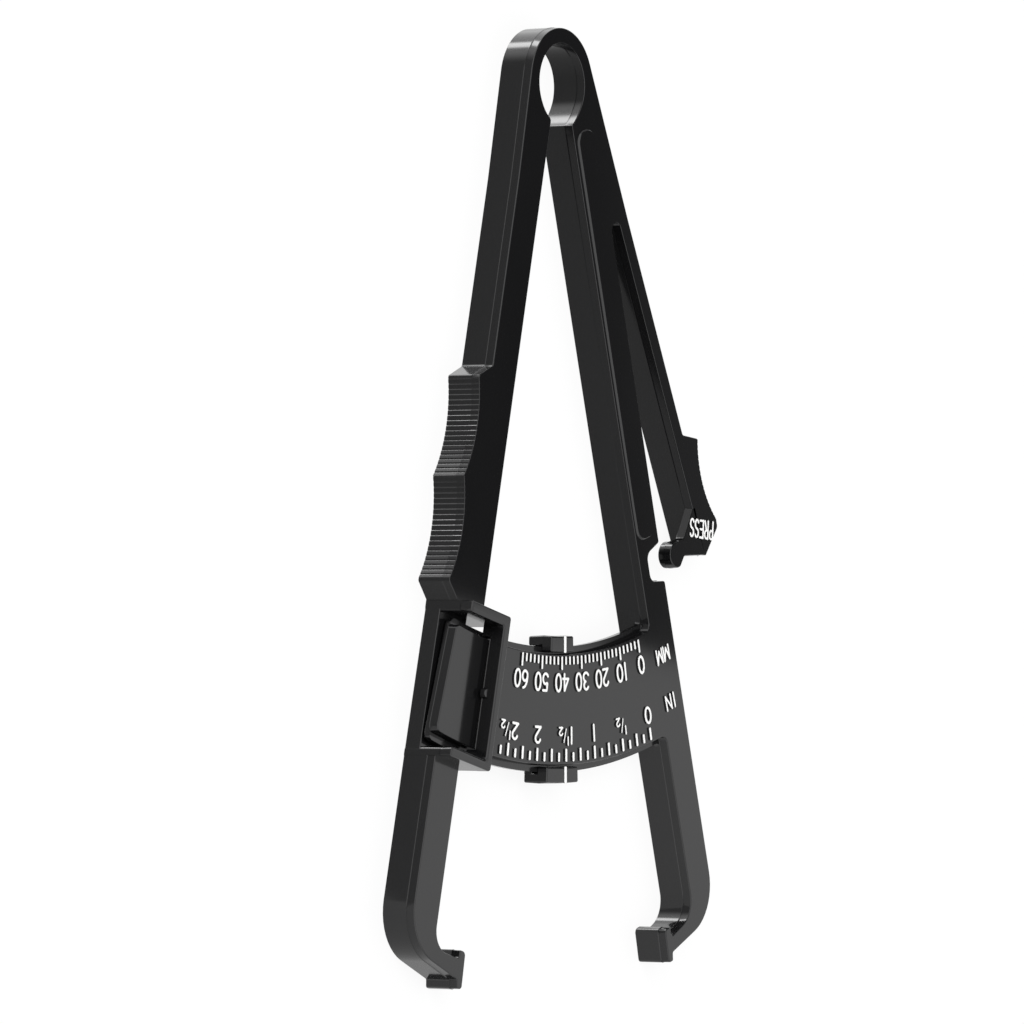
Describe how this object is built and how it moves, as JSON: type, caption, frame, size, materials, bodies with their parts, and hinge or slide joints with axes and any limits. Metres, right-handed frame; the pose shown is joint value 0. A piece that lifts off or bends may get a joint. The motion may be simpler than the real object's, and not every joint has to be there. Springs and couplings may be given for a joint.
{
  "type": "skinfold caliper",
  "caption": "One-hand skinfold caliper with sprung arms, a curved scale blade in a guide window, a sliding cursor and a press lever whose lug seats in a notch.",
  "frame": {"origin": "centre of the hanging ring's hole, on the back plane", "axes": "+Z out of the front of the caliper, +Y from the jaws to the top of the ring, +X to the press lever's side"},
  "size_m": [0.1019, 0.1735, 0.0102],
  "materials": {
    "black_plastic": "black moulded plastic with a soft gloss",
    "white_print": "white foil on the raised marks"
  },
  "bodies": {
    "scale_side": {"scale_arm": "black_plastic", "lever_root": "black_plastic", "spring_ring": "black_plastic", "lever_flexure": "black_plastic", "scale_blade": "black_plastic", "scale_jaw": "black_plastic", "millimetre_ticks": "white_print", "inch_ticks": "white_print"},
    "press_lever_side": {"press_lever": "black_plastic", "thumb_pad": "black_plastic", "latch_lug": "black_plastic"},
    "grip_side": {"grip_arm": "black_plastic", "finger_grip": "black_plastic", "guide_top_wall": "black_plastic", "guide_bottom_wall": "black_plastic", "guide_back_plate": "black_plastic", "guide_front_bar": "black_plastic", "grip_shank": "black_plastic", "grip_jaw": "black_plastic"},
    "cursor_side": {"cursor": "black_plastic", "index_marks": "white_print"}
  },
  "joints": [
    {"name": "jaw_close", "type": "hinge", "parent": "scale_side", "child": "grip_side", "pos_m": [0, 0, 0.00337], "axis": [0, 0, 1], "range_deg": [0, 23.7], "stiffness_Nm_per_rad": 1.2, "deforming": ["spring_ring"]},
    {"name": "press", "type": "hinge", "parent": "scale_side", "child": "press_lever_side", "pos_m": [0.02123, -0.02659, 0.00337], "axis": [0, 0, -1], "range_deg": [0, 6.6], "stiffness_Nm_per_rad": 2, "deforming": ["lever_flexure"]},
    {"name": "cursor_slide", "type": "hinge", "parent": "scale_side", "child": "cursor_side", "pos_m": [0, 0, 0.00337], "axis": [0, 0, 1], "range_deg": [0, 13.6]}
  ],
  "couplings": [
    {"joint": "cursor_slide", "follows": "jaw_close", "ratio": 0.57173}
  ]
}
